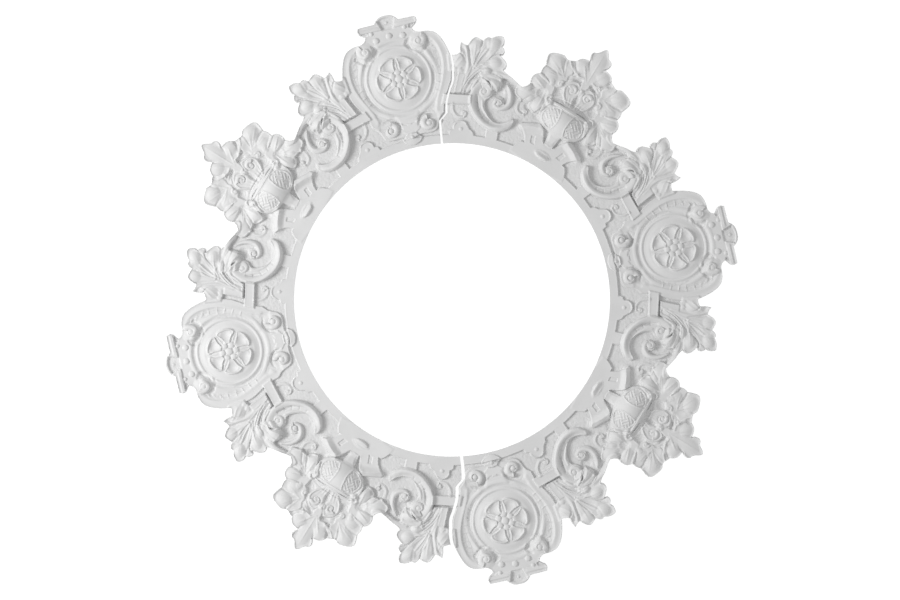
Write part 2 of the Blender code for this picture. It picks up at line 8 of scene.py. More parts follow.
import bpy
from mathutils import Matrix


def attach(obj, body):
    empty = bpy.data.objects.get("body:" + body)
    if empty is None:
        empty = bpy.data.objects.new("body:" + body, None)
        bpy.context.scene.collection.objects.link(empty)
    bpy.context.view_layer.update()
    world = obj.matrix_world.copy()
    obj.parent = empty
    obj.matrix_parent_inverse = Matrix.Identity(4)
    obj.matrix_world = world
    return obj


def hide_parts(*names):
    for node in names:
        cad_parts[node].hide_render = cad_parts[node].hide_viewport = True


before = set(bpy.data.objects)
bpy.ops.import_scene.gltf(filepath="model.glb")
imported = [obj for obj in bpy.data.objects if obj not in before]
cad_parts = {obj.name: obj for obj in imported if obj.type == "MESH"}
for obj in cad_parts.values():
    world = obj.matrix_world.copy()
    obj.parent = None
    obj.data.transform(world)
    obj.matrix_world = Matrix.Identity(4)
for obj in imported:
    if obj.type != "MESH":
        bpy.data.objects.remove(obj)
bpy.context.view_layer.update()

# %% The tools of this lesson
from math import atan2, cos, hypot, pi, radians, sin, tau

import bpy
import numpy as np
from mathutils import Vector
from mathutils.geometry import delaunay_2d_cdt

# %% [markdown]
# ## The drawing
#
# A carver draws such a ring as one eighth, a wedge of 45 degrees, and turns and mirrors it round the
# ring. The same is done here, in millimetres at full size. Each motif is drawn upright in a frame of its
# own that stands on the motif's axis, with y as the distance from the ring's centre: the plaque on one
# side of the wedge, the urn on the other, and the scroll halfway between them.

# %% The wedge and its heights
INNER = 305.0
OUTER = 571.0
WEDGE = radians(45)
GROUND = 11.0
LAND = 15.0
LAND_EDGE = 2.4
BAND_EDGE = 322.0
MEDALLION = 441.0
TOP = 38.0
STEP = 0.75

radii = np.arange(INNER - 3, OUTER + 3, STEP)
turns = np.linspace(0, WEDGE, int(WEDGE*(INNER + OUTER)/2/STEP))
radius_grid, turn_grid = np.meshgrid(radii, turns, indexing="ij")
print("the wedge is sampled at", radius_grid.size, "points")

# %% [markdown]
# ## Lines
#
# An outline is a short list of points. A smooth line runs through them, and a third value marks a point
# where the carver's line turns sharply.


# %% Smooth lines
def smooth(points, closed=True, steps=4):
    """A line through the points, rounded except at the marked corners."""
    count = len(points)
    line = []
    for i in range(count if closed else count - 1):
        here, there = points[i], points[(i + 1) % count]
        before = points[i - 1] if i or closed else here
        after = points[(i + 2) % count] if i + 2 < count or closed else there
        start, end = np.array(here[:2], float), np.array(there[:2], float)
        chord = end - start
        leave = chord if len(here) > 2 else along(before, there, chord)
        arrive = chord if len(there) > 2 else along(here, after, chord)
        for t in np.arange(steps)/steps:
            line.append((2*t**3 - 3*t**2 + 1)*start + (3*t**2 - 2*t**3)*end
                        + (t**3 - 2*t**2 + t)*leave + (t**3 - t**2)*arrive)
    line.append(line[0] if closed else np.array(points[-1][:2], float))
    return np.array(line)


def along(a, b, chord):
    """The direction from a to b, with the length of the chord."""
    way = np.array(b[:2], float) - np.array(a[:2], float)
    return way/(hypot(*way) or 1.0)*hypot(*chord)


def mirrored(points):
    """A closed outline whose right half is given from its top to its bottom."""
    return points + [(-p[0], *p[1:]) for p in reversed(points) if p[0] > 0]


# %% [markdown]
# ## Distances and sections
#
# Relief is mostly a matter of distance: how far inside an outline a point lies, or how far from the
# middle of a ridge. A section then says how high the surface stands at that distance, as a moulding
# plane would leave it.


# %% Distance to a line
def trace(x, y, line):
    """For each sample: the distance to a line, how far along it the nearest point is, and the side."""
    best = np.full(x.shape, np.inf)
    reach, lean = np.zeros(x.shape), np.zeros(x.shape)
    lengths = np.hypot(*np.diff(line, axis=0).T)
    starts = np.concatenate([[0], np.cumsum(lengths)])
    for (ax, ay), (bx, by), start, length in zip(line[:-1], line[1:], starts, lengths):
        if length < 1e-9:
            continue
        dx, dy = (bx - ax)/length, (by - ay)/length
        px, py = x - ax, y - ay
        t = np.clip(px*dx + py*dy, 0, length)
        off_x, off_y = px - t*dx, py - t*dy
        d = off_x**2 + off_y**2
        near = d < best
        best[near] = d[near]
        reach[near] = (start + t[near])/starts[-1]
        lean[near] = ((dx*off_y - dy*off_x)/np.sqrt(np.maximum(d, 1e-12)))[near]
    return np.sqrt(best), reach, lean


def depth(x, y, line):
    """How deep each sample lies inside a closed line; negative outside."""
    within = np.zeros(x.shape, bool)
    for (ax, ay), (bx, by) in zip(line[:-1], line[1:]):
        if ay != by:
            within ^= ((ay > y) != (by > y)) & (x < (bx - ax)*(y - ay)/(by - ay) + ax)
    return np.where(within, 1, -1)*trace(x, y, line)[0]


# %% Sections
def ease(t):
    t = np.clip(t, 0, 1)
    return t*t*(3 - 2*t)


def section(d, *knots):
    """The height across a moulding, eased between (distance, height) knots."""
    at, height = (np.array(column, float) for column in zip(*knots))
    k = np.clip(np.searchsorted(at, d) - 1, 0, len(at) - 2)
    return height[k] + (height[k + 1] - height[k])*ease((d - at[k])/(at[k + 1] - at[k]))


# %% [markdown]
# ## The sheet that is carved
#
# One array holds the height at every sample of the wedge. All relief is a sum of a few kinds of form:
#
# - a terrace rises over a closed outline, with a slope of a given width along its edge,
# - a stroke is a ridge or a groove along a line, with its own width on the left and the right,
# - a dome is a round or oval boss, or a pit where its rise is negative,
# - rings are mouldings round a centre.
#
# A bead is a crisp cap, and a coil is the rolled end of a scroll.
#
# Each form adds its rise in millimetres to what is there, so forms flow into each other as they do when
# a modeller adds clay.

# %% The sheet
DOME_POWER = 1.2
COIL_FLOOR = 0.35
COIL_EDGE = 1.6
EYE_RISE = 1.05
EYE_ROUND = 0.7
WEAVE_EDGE = 2


class Sheet:
    """The heights of one wedge, with the forms that are added to them."""

    def __init__(self):
        self.height = np.full(radius_grid.shape, GROUND)
        self.names = []
        self.motif("plaque")

    def motif(self, name):
        """Work in the frame of a motif from here on."""
        turn = {"plaque": turn_grid, "scroll": WEDGE/2 - turn_grid, "urn": WEDGE - turn_grid}[name]
        self.x, self.y = radius_grid*np.sin(turn), radius_grid*np.cos(turn)

    def petal_frame(self, turn, side=1):
        """Work in a petal's frame: x runs outwards from the medallion's centre, y across."""
        self.motif("plaque")
        c, s = cos(radians(turn)), sin(radians(turn))
        x, y = self.x, self.y - MEDALLION
        self.x, self.y = x*c + y*s, side*(y*c - x*s)

    def near(self, points, margin):
        """The samples that lie in the box round the points, widened by a margin."""
        (x0, y0), (x1, y1) = np.min(points, axis=0) - margin, np.max(points, axis=0) + margin
        return (self.x > x0) & (self.x < x1) & (self.y > y0) & (self.y < y1)

    def add(self, name, points, margin, form):
        """Add form(x, y) to the samples near the points."""
        near = self.near(points, margin)
        self.height[near] += form(self.x[near], self.y[near])
        self.names.append(name)

    def terrace(self, name, rise, width, points):
        line = smooth(points)
        self.add(name, line, width, lambda x, y: rise*ease(depth(x, y, line)/width + 0.5))

    def stroke(self, name, left, right, rises, points, sharp=0):
        """A ridge or a groove whose rises are spread along the line.

        Sharp runs from -1, a half round, over 0, a wave, to 1, an arris.
        """
        line = smooth(points, closed=False)

        def ridge(x, y):
            d, reach, lean = trace(x, y, line)
            u = np.clip(d/((left + right)/2 + (left - right)/2*lean), 0, 1)
            rise = np.interp(reach, np.linspace(0, 1, len(rises)), rises)
            other = (1 - u)**2 if sharp > 0 else np.cos(pi/2*u)
            return rise*((1 - abs(sharp))*(0.5 + 0.5*np.cos(pi*u)) + abs(sharp)*other)
        self.add(name, line, max(left, right), ridge)

    def dome(self, name, rise, x, y, across, up, turn=0):
        """An oval boss, its two half widths turned anticlockwise by some degrees."""
        c, s = cos(radians(turn)), sin(radians(turn))

        def boss(px, py):
            u, v = ((px - x)*c + (py - y)*s)/across, ((py - y)*c - (px - x)*s)/up
            return rise*np.clip(1 - u*u - v*v, 0, 1)**DOME_POWER
        self.add(name, [(x, y)], max(across, up), boss)

    def bead(self, name, rise, x, y, radius):
        """A round cap with a crisp edge."""
        self.add(name, [(x, y)], radius, lambda px, py: rise*np.sqrt(
            np.clip(1 - ((px - x)**2 + (py - y)**2)/radius**2, 0, 1)))

    def coil(self, name, rise, x, y, radius, pitch, start, hand, eye):
        """A volute: a strap that winds inwards from an angle to a round eye, anticlockwise if hand is 1."""
        def winding(px, py):
            r = np.hypot(px - x, py - y)
            turn = hand*(np.arctan2(py - y, px - x) - radians(start))/tau % 1
            arm = (radius - r)/pitch - turn
            crown = COIL_FLOOR + (1 - COIL_FLOOR)*np.sqrt(np.abs(np.sin(pi*arm)))
            strap = crown*ease(arm*pitch/COIL_EDGE + 0.5)
            boss = EYE_RISE*np.sqrt(np.clip(1 - (r/eye)**2*EYE_ROUND, 0, 1))
            return rise*np.where(r < eye, boss, strap)
        self.add(name, [(x, y)], radius + 1, winding)

    def rings(self, name, x, y, *knots):
        """Knots are (distance, rise) pairs, the last one with no rise."""
        self.add(name, [(x, y)], knots[-1][0], lambda px, py: section(np.hypot(px - x, py - y), *knots))

    def weave(self, outline, rise, pitch):
        """Basket weave inside an outline: strands over and under at a slant."""
        line = smooth(outline)

        def strands(x, y):
            u, v = (x + y)/pitch, (x - y)/pitch
            over = np.sin(pi*u)*np.sin(pi*v)
            strand = np.where(over > 0, np.cos(2*tau*u), np.cos(2*tau*v))
            return rise*strand*ease(depth(x, y, line)/WEAVE_EDGE)
        self.add("weave", line, 1, strands)

    def report(self):
        print(len(self.names), "forms:", ", ".join(self.names[-4:]), "and before;",
              "the highest is", round(float(self.height.max()), 1), "mm")


sheet = Sheet()

# %% [markdown]
# ## The land
#
# Every carved form stands on one level, the land, and the stippled ground lies sunk between the forms.
# The plain band round the hole is land too, with its small lobes and the webs that tie the scrolls to
# it. The land's outlines are drawn first, and its edge is steep.

# %% Outlines of the land
PLAQUE_EDGE = [(0, 569), (12, 566.5), (20, 561), (24, 555.5, 1), (57, 555, 1), (59.5, 547), (57, 541, 1),
               (46.5, 533.5, 1), (50, 527), (58, 522.5), (72, 521.5), (86, 516.5), (95, 507), (101.5, 493),
               (105.5, 478), (108, 465, 1)]
BODY = mirrored(PLAQUE_EDGE + [(106.5, 448), (103, 432), (98, 416), (90, 402), (82.5, 390), (76.5, 378),
                (73.5, 368), (71, 359, 1), (62, 351), (57.5, 343), (53, 333), (46, 327.5), (36, 326),
                (22, 327.5), (12, 326), (0, 322)])
LOBE = [(65, 300, 1), (66, 316, 1), (69.5, 322.5, 1), (76.5, 323.5, 1), (79.5, 331), (85, 335.7), (91, 337),
        (97.5, 335.5), (102.5, 331), (105.5, 323, 1), (107, 316, 1), (112, 310, 1), (113, 300, 1)]
WEB = [(-34.5, 312, 1), (-34.5, 336, 1), (-11, 342, 1), (-10.5, 312, 1)]
SCROLL = [(-60.5, 361), (-57, 350), (-50, 342), (-40, 337), (-28, 335), (-14, 337.2), (0, 343),
          (12, 352.5), (22, 365), (28.5, 380), (31.5, 395), (31.5, 410), (28, 422), (22, 430), (13, 436.5, 1),
          (1, 428), (-8, 420), (-11, 409), (-8, 400), (-1, 394), (1, 388), (-2, 377), (-9, 364.5), (-19, 356),
          (-30, 353), (-39, 354.5), (-48, 358.5), (-56, 364.5)]
COMMA = [(-36, 431, 1), (-46, 420), (-51.5, 408), (-52, 396), (-48, 385), (-39, 379), (-28, 377.5),
         (-20, 382), (-17, 391), (-19, 399), (-25, 404), (-31, 402.5), (-35.5, 397.5, 1), (-37.5, 391),
         (-41.5, 397), (-43, 404), (-42, 414), (-37.5, 424)]
SPRAY_EDGE = [(76, 470, 1), (69, 473.5), (64.5, 477, 1), (66.5, 488), (66, 498.5, 1), (59, 495),
              (51.5, 493.5, 1), (48.5, 501), (44, 508.5), (38, 512), (30, 510), (22.5, 507, 1), (19, 512.5),
              (14, 516), (8, 514.3, 1), (1, 519), (-6, 521), (-14.5, 520.5), (-18, 514), (-18.5, 506),
              (-15.5, 501, 1), (-19, 498), (-22, 492), (-20, 486), (-14, 484.3, 1), (-20, 480),
              (-27, 473.5), (-30, 467), (-29, 461), (-25, 456.5, 1), (-32, 451), (-42, 446), (-52, 439.5),
              (-60, 434), (-66, 430.5, 1), (-74, 434), (-81, 441, 1)]
SPRAY = SPRAY_EDGE + [(-84, 428), (-72, 424), (-60, 427), (-48, 433), (-36, 439), (-26, 441, 1),
                      (-20, 414, 1), (-4, 430), (20, 428, 1), (35, 402, 1), (63, 398, 1), (61, 437, 1),
                      (76, 440, 1), (84, 470, 1), (80, 478, 1)]
HUSK = [(8, 448, 1), (-6, 447), (-18, 445.5), (-29, 441, 1), (-25, 436.5), (-27.5, 430), (-24.5, 421, 1),
        (-20, 422), (-20, 412.5, 1), (-13, 415), (-8, 413.5, 1), (-5, 424), (2, 433, 1), (14, 437),
        (24, 446, 1)]
BAR = [(29, 398.8, 1), (78, 393.7, 1), (79, 373.5, 1), (28, 380.5, 1)]
PLINTH = mirrored([(0, 352, 1), (10, 351), (18, 365), (26, 375), (36, 381, 1), (68, 363.5, 1),
                   (69.5, 358, 1), (61, 354.5, 1), (50, 345), (43.5, 334, 1), (50, 333, 1), (55, 325, 1),
                   (58.5, 316, 1), (60, 305, 1), (0, 300, 1)])
URN = mirrored([(0, 433, 1), (34, 432, 1), (46, 426), (50.5, 414), (50, 402), (46, 392), (39, 384),
                (28, 378), (12.5, 375.5, 1), (9.5, 350, 1), (0, 350, 1)])
CLUSTER_EDGE = [(93, 437, 1), (96.5, 441.5), (98, 450), (95, 459), (88, 464.5, 1), (89.5, 474),
                (87.5, 483, 1), (91.5, 493), (93.5, 503.5), (89, 510.5), (80, 515), (72, 517.5),
                (65, 518.5), (57, 515), (52, 515.5, 1), (45, 519), (40.5, 520.5, 1), (37.5, 526.5),
                (32, 532), (24, 534.5), (17, 535.5, 1), (21.5, 542), (22.5, 549), (19, 554.5), (14, 556, 1),
                (10, 560), (6, 566.5), (0, 571)]
CLUSTER = mirrored(CLUSTER_EDGE[::-1] + [(100, 434), (106, 430), (108.5, 422, 1), (112, 416), (111, 407),
                   (104, 402.5), (97, 401.5), (91.5, 398, 1), (87, 401.5), (80, 402.5), (76.5, 403.5, 1),
                   (73.5, 397.5), (66, 393), (59, 391.5), (54, 399, 1), (40, 430), (0, 432)])


# %% Raise the land
def raise_land(motifs):
    """Lift everything inside any of the outlines to the land's level."""
    inside = BAND_EDGE - radius_grid
    for motif, outlines in motifs.items():
        sheet.motif(motif)
        for outline in outlines:
            line = smooth(outline)
            near = sheet.near(line, LAND_EDGE)
            inside[near] = np.maximum(inside[near], depth(sheet.x[near], sheet.y[near], line))
    sheet.height += (LAND - GROUND)*ease(inside/LAND_EDGE + 0.5)


raise_land({"plaque": [BODY, LOBE], "scroll": [WEB, SCROLL, COMMA, SPRAY, HUSK, BAR],
            "urn": [PLINTH, URN, CLUSTER]})
print("the land covers", round(float((sheet.height > LAND - 1).mean()), 2), "of the wedge")

# %% [markdown]
# ## The plaque
#
# A cartouche with a rolled rim that swells down both flanks, a smooth hollow channel inside the rim, a
# ringed medallion with a rosette, small volutes at the top and larger ones at the foot.

# %% The plaque's rim and hollow
sheet.motif("plaque")
sheet.stroke("lower field", 7, 7, [0, -1, -1], [(30, 372), (48, 374), (58, 378)])
RIM = [(66, 513), (76, 507.5), (84, 499), (89.5, 486), (92, 470), (91.5, 453), (88.5, 438), (82, 421),
       (74.5, 406), (67, 392), (61, 379), (58, 366)]
HOLLOW = [(64, 507), (72, 500), (79, 485), (82, 469), (82, 453), (79, 439), (73, 423), (66, 409), (59, 395),
          (53, 382), (50, 370)]
sheet.stroke("hollow", 9.5, 15, [-0.5, -2.6, -3.6, -3.4, -3, -2.6, -2.2, -2, -1.5], HOLLOW, sharp=-0.7)
sheet.stroke("rim", 7, 3, [0, 0.9, 0.9, 0.9, 0.9, 0.9, 0.6], RIM)
for x0, y0, x1, y1 in ((74, 480, 88, 474), (76, 463, 90, 463), (75, 447, 89, 446), (73, 435, 85, 430),
                       (68, 421, 79, 415), (62, 406, 71, 401), (71, 493, 83, 486), (68, 503, 78, 498)):
    middle = ((x0 + x1)/2, (y0 + y1)/2)
    sheet.stroke("flute", 1.8, 1.8, [0.3, 1.3, 0.5], [(x0, y0), middle, (x1, y1)], sharp=0.5)
sheet.report()

# %% The medallion
sheet.rings("medallion", 0, MEDALLION, (0, 4), (13, 4), (24, 3), (36, 1.6), (43.5, 1.3), (45.5, 0.9),
            (47, 0.9), (57.5, -1.5), (59, -1.8), (60.5, -1), (62, -0.3), (63.5, -0.3), (65.5, -1.4),
            (67.5, -2.4), (69.5, -2.4), (71.5, -1.2), (75, 0.7), (77.5, 0.9), (82, 0))
sheet.bead("rosette's ball", 3.2, 0, MEDALLION, 7.4)
for turn in (60, 0, -60):
    sheet.petal_frame(turn)
    sheet.terrace("petal", 2.2, 1.6, [(16, -4, 1), (26, -8.8), (36, -17.4, 1), (41, -14), (44, -7), (44.6, 0),
                  (44, 7), (41, 14), (36, 17.4, 1), (26, 8.8), (16, 4, 1)])
    sheet.dome("petal's hollow", -3, 31, 0, 10.5, 11)
    sheet.stroke("petal's lip", 6.5, 2, [0.4, 2.1, 2.6, 2.1, 0.4],
                 [(36, 17), (40.5, 11), (42.3, 0), (40.5, -11), (36, -17)])
    for side in (1, -1):
        sheet.petal_frame(turn, side)
        sheet.stroke("petal's edge", 1.8, 1.8, [0.4, 0.9, 1.3], [(17, 4), (26, 8.3), (35.5, 16.6)], sharp=0.4)
for turn in (90, 30, -30, -90):
    sheet.petal_frame(turn)
    sheet.stroke("sepal", 1.8, 1.8, [0.6, 1, 0.9, 0.3], [(20, 0), (40, 0)], sharp=0.4)
    sheet.bead("rosette's lobe", 2.4, 13.4, 0, 6)
sheet.motif("plaque")
sheet.report()

# %% The top volute
sheet.stroke("under the volute", 4, 4, [-1, -1.5, -1.5, -1], [(46, 481), (56, 482), (63, 486), (69, 495)])
sheet.terrace("volute's recess", -4.4, 7, [(26, 505, 1), (31, 512), (38, 514, 1), (37, 504), (40, 495),
              (47, 488.5, 1), (38, 489), (31, 495)])
sheet.dome("volute's swell", 4.4, 54, 505, 21, 21)
sheet.coil("top volute", 3.2, 54, 505, 17, 10.5, 60, -1, 5.6)
sheet.terrace("volute's drop", -2.6, 5, [(70, 512, 1), (66, 498), (58, 487, 1), (66, 486), (76, 494, 1)])
sheet.report()

# %% The crest
sheet.terrace("bar", 2.6, 1.6, [(17, 558, 1), (57.5, 556, 1), (60, 547), (57, 541, 1), (11, 541, 1)])
sheet.stroke("bar's bevel", 3, 9, [1.6], [(20, 547), (58, 547)], sharp=0.5)
sheet.terrace("keystone", -2.8, 5, mirrored([(0, 563), (17, 559, 1), (10, 540, 1), (0, 540, 1)]))
sheet.stroke("arc", 1.8, 4, [1.2], [(0, 565), (10, 563.5), (18, 559)])
sheet.terrace("notch", -2.6, 2, [(55, 541.5, 1), (50, 536), (45, 533.5, 1), (41, 536), (44, 541.5, 1)])
for x, y, radius, rise in ((26.5, 522.5, 6, 3), (0, 527, 6, 3), (33, 537.5, 4, 2.2), (0, 553, 3.4, 1.5)):
    sheet.bead("stud", rise, x, y, radius)
sheet.report()

# %% The foot volute and the shield
sheet.coil("foot volute", 6.4, 38, 345, 18.5, 11, 95, 1, 6)
sheet.terrace("volute's step", -2, 8, [(24, 372, 1), (44, 372, 1), (58, 362), (57, 350, 1), (38, 350, 1),
              (18, 356, 1)])
sheet.stroke("volute's shade", 4, 4, [-0.8, -4, -4, -1.2], [(50, 362), (34, 366), (22, 358), (17, 345)])
sheet.terrace("sill", 1.4, 2, mirrored([(0, 352), (10, 353), (17, 356, 1), (19, 340, 1), (10, 333, 1),
              (0, 331, 1)]))
sheet.stroke("sill's notch", 1.9, 1.9, [-1.6, -1.2], [(5, 350.5), (13, 353)], sharp=0.5)
sheet.terrace("shield", 3.6, 1.3, mirrored([(0, 334, 1), (9, 333, 1), (11, 329), (19.5, 322.5, 1),
              (14, 314.5), (7, 310.8), (0, 309.5)]))
sheet.dome("shield's back", 1.8, 0, 321, 15, 11)
sheet.bead("shield's button", 2, 0, 325, 3.4)
sheet.report()

# %% [markdown]
# ## The scroll and the leaf spray
#
# A big C-scroll with a channel along its back ends in a coiled head, and a smaller comma scroll curls
# inside it. A vine leaf on fluted stems and a pointed leaf behind it grow out of a husk over the head.

# %% The big scroll
sheet.motif("scroll")
sheet.terrace("scroll plate", 2, 3, SCROLL)
sheet.stroke("scroll rim", 15, 7, [3, 6, 8, 8, 8, 8, 7, 6, 5, 4, 3], [(-56, 358), (-50, 349), (-40, 343),
             (-27, 341), (-13, 343), (0, 349), (12, 359), (21, 370), (27, 383), (28, 397), (25, 411),
             (18, 423), (8, 430)])
sheet.stroke("scroll inner ridge", 3, 4, [0.5, 1, 1, 1.5, 2, 1.5], [(-44, 358), (-30, 355), (-18, 358),
             (-6, 366), (3, 378), (6, 391)])
sheet.stroke("scroll channel", 4, 4, [-0.5, -1, -1, -1.5, -3, -4, -2], [(-40, 350), (-25, 348),
             (-12, 351), (0, 358), (10, 370), (15, 384), (18, 399)])
sheet.stroke("scroll inner foot", 3, 4, [1, 0.8, 0.6, 0.5], [(-57, 366), (-49, 359), (-40, 356),
             (-30, 355)])
sheet.stroke("scroll foot", 4, 4, [1, 1, 1], [(-60, 361), (-58, 353), (-52, 346)])
sheet.stroke("tip", 4, 4, [1, 2, 1.5, 1], [(15, 434), (20, 432), (25, 425), (29, 414)])
sheet.coil("head", 3.4, 5, 409, 17, 10, 60, 1, 5.2)
for x0, y0, x1, y1 in ((12, 387, 19, 385), (6, 375, 12, 370), (-3, 363, 2, 358), (-14, 356, -12, 350)):
    sheet.stroke("notch", 1.8, 1.8, [-0.6, -1.4], [(x0, y0), (x1, y1)], sharp=0.5)
sheet.report()

# %% The husk and the wrap
sheet.dome("husk", 7, -6, 426, 19, 12)
sheet.stroke("husk ridge", 4, 4, [1, 1, 0], [(-22, 436), (-10, 438), (4, 440)])
sheet.stroke("husk groove", 3, 3, [-1, -1, -1], [(-16, 444), (-4, 446), (6, 445)])
sheet.stroke("husk edge", 4, 4, [0, 1, 1, 0], [(-26, 437), (-24, 427), (-20, 418), (-10, 414)])
sheet.dome("husk pit", -5, -24, 411, 12, 12)
sheet.dome("husk rim", 6, 7, 450.5, 11, 7)
sheet.terrace("husk plate", 2, 3, [(-22, 440), (-26, 435), (-26, 428), (-25, 420), (-20, 412), (-12, 412),
              (-6, 416), (0, 422), (8, 428), (16, 436), (10, 444), (-6, 445), (-16, 443)])
sheet.stroke("wrap", 6, 8, [2, 3, 3, 2], [(-62, 436), (-46, 441), (-30, 446), (-14, 448)])
sheet.stroke("wrap edge", 4, 4, [-1, -1, 0, 0], [(-58, 430), (-46, 431), (-36, 436), (-28, 440)])
sheet.terrace("husk's leaf", 1.6, 1.6, HUSK)
for x0, y0, x1, y1 in ((12, 441, -20, 434), (8, 437, -20, 425), (4, 433, -14, 418), (14, 445, -22, 441)):
    sheet.stroke("husk's fold", 2, 2, [0, -0.4, -0.5, -0.2], [(x0, y0), (x1, y1)], sharp=0.3)
sheet.report()

# %% The comma scroll
sheet.stroke("comma", 5.5, 5, [1.5, 3, 3.6, 3.8, 3.6, 3, 2.4], [(-37, 430), (-44, 418), (-47.5, 405),
             (-46, 393), (-39, 385), (-29, 381.5), (-20, 385)], sharp=-0.8)
sheet.coil("comma's eye", 4, -26, 391.5, 11.5, 8.5, -20, 1, 5.2)
sheet.report()

# %% The bar and the hooks
sheet.terrace("bar", 3, 3, BAR)
sheet.stroke("bar's hook", 4.2, 3.8, [2, 2.4, 2.6, 2.4, 2.2],
             [(62, 376), (60, 365), (54, 357), (46, 353), (38, 354)], sharp=-0.7)
sheet.coil("hook's curl", 2.6, 39, 361, 8.5, 6, 250, -1, 3.8)
sheet.stroke("urn's hook", 4.2, 3.8, [1.5, 2.2, 2.6, 2.4, 2.2],
             [(-66, 405), (-62.5, 393), (-64, 384), (-70, 378), (-77, 376.5)], sharp=-0.7)
sheet.coil("hook's end", 2.6, -78, 384, 8, 6, 290, -1, 3.8)
sheet.terrace("pin", 1.4, 3, [(48, 437, 1), (61, 437, 1), (63, 398, 1), (50, 398, 1)])
sheet.report()

# %% The stems
sheet.stroke("far stem", 3, 3, [1, 1, 1, 0.5], [(36, 458), (39, 444), (44, 428), (50, 408)])
sheet.stroke("upper stem", 3, 3, [1, 2, 2, 1], [(17, 450), (27, 440), (36, 428), (46, 408)])
sheet.stroke("thin stem", 2.5, 2.5, [1, 1.5, 1.5, 1], [(22, 452), (33, 440), (43, 424), (50, 404)])
sheet.stroke("lower stem", 3, 3, [1, 2, 2, 1], [(17, 437), (27, 428), (37, 414), (45, 399)])
sheet.stroke("upper gap", 3, 3, [-2, -3, -2], [(20, 444), (29, 435), (38, 421)])
sheet.stroke("lower gap", 3, 3, [-2, -3, -3], [(22, 436), (32, 424), (42, 404)])
sheet.dome("ridge end", 2, 17, 448, 6, 5, turn=-30)
sheet.report()

# %% The vine leaf
for rise, x, y, across, up, turn in (
        (4.5, 1, 503, 15, 12, -30), (1.1, 14, 509, 7, 6, -30), (3, 36, 498, 13, 13, 0),
        (3.8, -7, 468, 13, 11, 0), (1.1, -16, 494, 6, 8, 0)):
    sheet.dome("leaf lobe", rise, x, y, across, up, turn)
sheet.dome("leaf hollow", -3, 18, 474, 18, 14, turn=-50)
sheet.stroke("leaf split", 4, 2.5, [-2, -2, -0.5], [(23, 508), (23.5, 498), (26, 488)], sharp=0.6)
sheet.stroke("leaf fold", 3, 3, [-2, -3, -3, -2, -1], [(-16, 486), (-8, 485), (0, 479), (6, 471),
             (14, 463)], sharp=0.5)
sheet.stroke("upper leaf fold", 3, 3, [-1, -1.5, -1], [(-16, 500), (-10, 494), (-4, 486)], sharp=0.5)
for points in ([(30, 455), (22, 475), (10, 492), (0, 500)], [(34, 458), (30, 478), (20, 500)],
               [(37, 460), (36, 480), (36, 495)], [(27, 452), (14, 462), (-2, 468)]):
    sheet.stroke("broad vein", 3, 3, [0.6, 0.8, 0.3], points)
sheet.stroke("leaf lip", 4, 5, [1, 1, 1], [(28, 509), (38, 511), (47, 504), (50, 496)])
sheet.stroke("leaf edge", 5, 5, [-2, -3, -2, -1], [(50, 493), (46, 480), (42, 466), (39, 458)])
sheet.dome("leaf foot", 2, 58, 443, 7, 6)
sheet.dome("end of the leaf foot", 1, 68, 444, 5, 5)
sheet.terrace("leaf plate", 1.5, 3, [(33, 455), (20, 460), (8, 456), (-6, 455), (-18, 457), (-30, 456, 1),
              (-34, 470, 1), (-26, 490, 1), (-22, 525, 1), (10, 526, 1), (50, 520, 1), (52, 494, 1),
              (46, 484), (42, 470), (38, 458)])
sheet.stroke("low vein", 3, 3, [0.4, 0.5, 0.3], [(28, 454), (10, 468), (-10, 474)])
sheet.stroke("leaf valley", 4, 4, [-0.5, -1, -1, -0.5], [(26, 462), (14, 478), (8, 495), (9, 512)])
sheet.stroke("short leaf valley", 3, 3, [-0.5, -0.8, -0.8], [(32, 460), (28, 476), (24, 490)])
sheet.terrace("spray plate", 3, 4, SPRAY)
for points in ([(33, 450), (20, 478), (6, 500), (-4, 512)], [(33, 450), (26, 478), (16, 498), (12, 508)],
               [(34, 452), (34, 474), (35, 492), (37, 504)], [(32, 450), (14, 462), (-4, 467), (-18, 470)],
               [(33, 450), (17, 470), (0, 486), (-10, 493)]):
    sheet.stroke("vein", 2, 2, [0.5, 0.7, 0.5, 0.1], points, sharp=0.3)
sheet.report()

# %% The pointed leaf
sheet.stroke("pointed leaf edge", 5, 8, [2, 3, 3, 3, 2, 1], [(64, 493), (56, 490), (50, 480), (46, 466),
             (44, 452), (45, 438), (48, 422)])
sheet.dome("pointed leaf", 5, 62, 466, 15, 20)
sheet.stroke("pointed fold", 3, 3, [-2, -2, -0.5], [(64, 476), (57, 472), (52, 463)], sharp=0.5)
sheet.stroke("pointed vein", 3, 3, [0.5, 0.8, 0.5], [(72, 458), (62, 470), (56, 482)])
for points in ([(76, 446), (66, 466), (60, 486)], [(70, 444), (58, 462), (52, 476)], [(62, 442), (54, 452)]):
    sheet.stroke("vein", 2, 2, [0.2, 0.6, 0.2], points, sharp=0.3)
sheet.report()

# %% The lobe on the band
sheet.motif("plaque")
sheet.stroke("lobe's rim", 3, 2.2, [0.8, 1.2, 1.2, 0.8],
             [(79, 329), (85, 334), (91, 335.5), (98, 334), (103, 329)])
sheet.bead("lobe's button", 1.6, 91, 320, 3.8)
sheet.report()

# %% [markdown]
# ## The urn and its leaves
#
# The urn stands on a foot between two bevelled blocks. Three vine leaves on each side spread behind it,
# and two fluted buds rise from its lip and curl inwards. The wedge ends on the urn's axis, so only the
# right half is drawn, apart from what crosses the axis.

